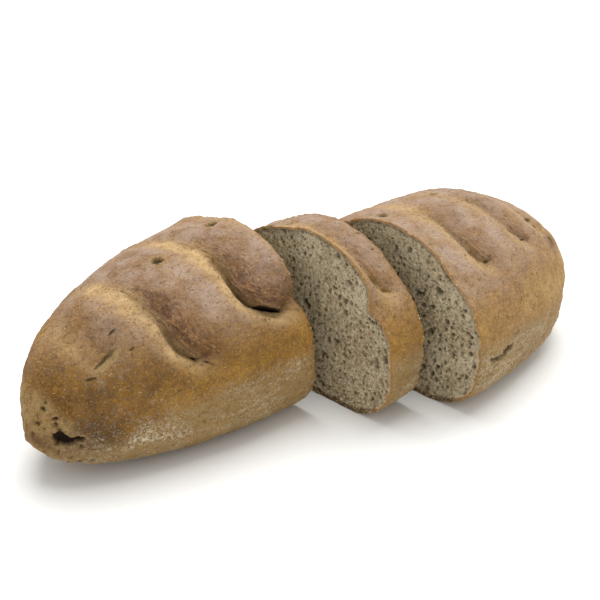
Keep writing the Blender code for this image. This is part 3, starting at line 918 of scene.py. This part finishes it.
def faceBlock(block, first, count, rings, inward, salt):
    edge = block[0][first : first + count]
    centre = np.array([edge[:, 0].mean(), edge[:, 1].mean(), 0.042])
    rows = faceRows(rings)
    made, own = facePoints(edge, rows, centre, inward, block[3], salt)
    ringSizes = [len(edge[::stride]) for _, stride in rows]
    last = {name: np.append(values, 0.0) for name, values in own.items()}
    return np.concatenate([made, centre[None]]), ringSizes + [1], 1, last


def turned(block):  # the same block with its rings in the other order
    points, sizes, slot, marks = block
    starts = np.concatenate([[0], np.cumsum(sizes)])
    order = np.concatenate([np.arange(starts[i], starts[i + 1]) for i in reversed(range(len(sizes)))])
    return points[order], sizes[::-1], slot, {name: values[order] for name, values in marks.items()}


def shiftOf(node, low, high, end):  # where the frame has this piece
    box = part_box(node)
    x = (box[1].x - high) if end == "high" else (box[0].x - low)
    y = (box[0].y + box[1].y) / 2
    return np.array([x, y, 0.0])


def halfLoaf(name, node, side, cut, tip, look, salt):
    angles = ringAngles(look["points"])
    rows = crustRows(rowPlaces(cut, tip, look["spacing"])[:-1], angles)
    body = crustBlock(rows, angles, side, (cut,))
    face = faceBlock(body, 0, look["points"], look["faceRings"], 1 if tip > cut else -1, salt)
    offset = shiftOf(node, cut, cut, "high" if tip < cut else "low")
    offset[1] -= (body[0][:, 1].min() + body[0][:, 1].max()) / 2
    return closedMesh(name, [turned(face), body, tipBlock(tip, body[3])], (crust, crumb), offset)


def sliceOf(name, node, look):
    angles = ringAngles(look["points"])
    low, high = loaf["leftCut"], loaf["rightCut"]
    rows = [(x, 1) for x in np.linspace(low, high, int((high - low) / look["spacing"]))]
    body = crustBlock(rows, angles, "slice", (low, high))
    count = look["points"]
    left = faceBlock(body, 0, count, look["faceRings"][0], 1, 3)
    right = faceBlock(body, len(body[0]) - count, count, look["faceRings"][1], -1, 5)
    offset = shiftOf(node, low, high, "low")
    offset[1] -= (body[0][:, 1].min() + body[0][:, 1].max()) / 2
    return closedMesh(name, [turned(left), body, right], (crust, crumb), offset)


leftHalf = halfLoaf("leftHalfLoaf", "left_half", "left", loaf["leftCut"], -loaf["reach"][0], leftPiece, 1)
print("left half made")
middleSlice = sliceOf("middleSliceLoaf", "middle_slice", slicePiece)
print("slice made")
rightHalf = halfLoaf("rightHalfLoaf", "right_half", "right", loaf["rightCut"], loaf["reach"][1], rightPiece, 7)
print("right half made")
for piece, node, finish in ((leftHalf, "left_half", "crust"), (middleSlice, "middle_slice", "crumb"),
                            (rightHalf, "right_half", "crust")):
    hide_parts(node)
    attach(piece, "root")


scatterLook = {  # small lumps where a mark of the crust or crumb is high; density to a square metre, sizes in metres
    "flourGrains": {"mark": "flour", "material": ("looseFlour", "#dacdb0", "#b19a70"), "slot": "crust",
                    "Density": 720000.0, "Seed": 5, "Smallest": 0.00012, "Largest": 0.00034, "Lift": 0.00004},
    "crumbBits": {"mark": "rim", "material": ("looseCrumbs", "#d6bf8e", "#9a6f38"), "slot": "crumb",
                  "Density": 240000.0, "Seed": 8, "Smallest": 0.00014, "Largest": 0.00054, "Lift": 0.00005},
}
scatterInputs = {"Density": "Float", "Seed": "Int", "Smallest": "Float", "Largest": "Float", "Lift": "Float"}
lowestLump = 0.0008  # none on the underside


def randomVector(tree, most, seed):
    limits = {0: (0.0, 0.0, 0.0), 1: (most, most, most), "Seed": seed}
    return addNode(tree, "FunctionNodeRandomValue", limits, data_type="FLOAT_VECTOR").outputs[0]


def scatterTree(name, hosts, attribute):
    tree = bpy.data.node_groups.new(name, "GeometryNodeTree")
    tree.interface.new_socket("Geometry", in_out="OUTPUT", socket_type="NodeSocketGeometry")
    for title, kind in {**{host.name: "Object" for host in hosts}, **scatterInputs, "Material": "Material"}.items():
        tree.interface.new_socket(title, in_out="INPUT", socket_type="NodeSocket" + kind)
    result = tree.nodes.new("NodeGroupOutput")
    given = tree.nodes.new("NodeGroupInput").outputs
    joined = tree.nodes.new("GeometryNodeJoinGeometry")
    for host in hosts:
        source = addNode(tree, "GeometryNodeObjectInfo", {"Object": given[host.name]}, transform_space="RELATIVE")
        tree.links.new(source.outputs["Geometry"], joined.inputs[0])
    where = addNode(tree, "GeometryNodeInputNamedAttribute", {"Name": attribute}, data_type="FLOAT")
    place = addNode(tree, "ShaderNodeSeparateXYZ", {0: tree.nodes.new("GeometryNodeInputPosition").outputs[0]})
    above = sums(tree, "GREATER_THAN", place.outputs["Z"], lowestLump)
    where = times(tree, where.outputs["Attribute"], above)
    squared = sums(tree, "POWER", sums(tree, "MAXIMUM", where, 0.0), 2.0)
    density = times(tree, squared, given["Density"])
    dots = addNode(tree, "GeometryNodeDistributePointsOnFaces",
                   {"Mesh": joined.outputs[0], "Density": density, "Seed": given["Seed"]})
    lift = addNode(tree, "ShaderNodeVectorMath", {0: dots.outputs["Normal"], "Scale": given["Lift"]}, operation="SCALE")
    lifted = addNode(tree, "GeometryNodeSetPosition", {"Geometry": dots.outputs["Points"], "Offset": lift.outputs[0]})
    least = addNode(tree, "ShaderNodeCombineXYZ", {axis: given["Smallest"] for axis in "XYZ"})
    most = addNode(tree, "ShaderNodeCombineXYZ", {axis: given["Largest"] for axis in "XYZ"})
    scale = addNode(tree, "ShaderNodeMix", data_type="VECTOR", factor_mode="NON_UNIFORM")
    sizes = (1, randomVector(tree, 1.0, given["Seed"])), (4, least.outputs[0]), (5, most.outputs[0])
    for socket, value in sizes:
        tree.links.new(value, scale.inputs[socket])
    facing = addNode(tree, "FunctionNodeEulerToRotation", {0: randomVector(tree, 6.2, given["Seed"])})
    lump = addNode(tree, "GeometryNodeMeshIcoSphere", {"Radius": 1.0, "Subdivisions": 1})
    copies = addNode(tree, "GeometryNodeInstanceOnPoints",
                     {"Points": lifted.outputs[0], "Instance": lump.outputs["Mesh"], "Rotation": facing.outputs[0],
                      "Scale": scale.outputs[1]})
    whole = addNode(tree, "GeometryNodeRealizeInstances", {"Geometry": copies.outputs[0]})
    finished = addNode(tree, "GeometryNodeSetMaterial",
                       {"Geometry": whole.outputs[0], "Material": given["Material"]})
    tree.links.new(finished.outputs[0], result.inputs[0])
    return tree


def scatter(name, hosts, look):
    piece = addObject(name, bpy.data.meshes.new(name))
    modifier = piece.modifiers.new("scatter", "NODES")
    modifier.node_group = scatterTree(name, hosts, look["mark"])
    items = modifier.node_group.interface.items_tree
    sockets = {item.name: item.identifier for item in items if item.in_out == "INPUT"}
    for host in hosts:
        modifier[sockets[host.name]] = host
    for title in scatterInputs:
        modifier[sockets[title]] = look[title]
    modifier[sockets["Material"]] = plainMaterial(*look["material"])
    made = bpy.data.meshes.new_from_object(piece.evaluated_get(bpy.context.evaluated_depsgraph_get()))
    piece.modifiers.clear()
    piece.data = made
    print(name, "triangles", len(made.polygons))
    return piece


for name, look in scatterLook.items():
    piece = scatter(name, (leftHalf, middleSlice, rightHalf), look)
    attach(piece, "root")

studio = {
    "floor": "#f4f4f2",
    "floorSize": 6.0,
    "world": 0.76,
    "sun": 2.6,
    "spread": 0.9,  # angle of the sun's disc in radians, for soft shadows
    "from": (0.30, 0.18, 1.0),
}


def addFloor():
    mesh = bpy.data.meshes.new("studioFloor")
    size = studio["floorSize"]
    mesh.from_pydata([(-size, -size, 0), (size, -size, 0), (size, size, 0), (-size, size, 0)], [], [(0, 1, 2, 3)])
    floor = addObject("studioFloor", mesh)
    material = bpy.data.materials.new("paleFloor")
    material.use_nodes = True
    shader = material.node_tree.nodes["Principled BSDF"]
    shader.inputs["Base Color"].default_value = linear(studio["floor"])
    shader.inputs["Roughness"].default_value = 0.6
    shader.inputs["Specular IOR Level"].default_value = 0.2
    mesh.materials.append(material)


def addLight():
    lamp = bpy.data.lights.new("softSun", "SUN")
    lamp.energy, lamp.angle = studio["sun"], studio["spread"]
    holder = addObject("softSun", lamp)
    holder.rotation_euler = Vector(studio["from"]).to_track_quat("Z", "Y").to_euler()
    world = bpy.data.worlds.new("paleRoom")
    world.use_nodes = True
    back = world.node_tree.nodes["Background"]
    back.inputs["Color"].default_value = (1, 1, 1, 1)
    back.inputs["Strength"].default_value = studio["world"]
    bpy.context.scene.world = world


view = {  # the photo's camera, in degrees, metres and millimetres
    "azimuth": -47.5,
    "elevation": 28.45,
    "distance": 0.5272,
    "lens": 60.94,
    "target": (0.00578, -0.02108, 0.04005),  # from the loaf's tallest section, as the left half lies
}


def addCamera(offset):
    azimuth, elevation = math.radians(view["azimuth"]), math.radians(view["elevation"])
    flat = math.cos(elevation)
    back = Vector((math.sin(azimuth) * flat, -math.cos(azimuth) * flat, math.sin(elevation)))
    lens = bpy.data.cameras.new("photoCamera")
    lens.sensor_width = 36
    lens.lens = view["lens"]
    holder = addObject("photoCamera", lens)
    holder.location = Vector(view["target"]) + Vector(offset) + back * view["distance"]
    holder.rotation_euler = back.to_track_quat("Z", "Y").to_euler()
    bpy.context.scene.camera = holder


addFloor()
addLight()
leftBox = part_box("left_half")
addCamera((leftBox[1].x - loaf["leftCut"], (leftBox[0].y + leftBox[1].y) / 2, 0))
bpy.context.scene.view_settings.view_transform = "Standard"
print("studio set")
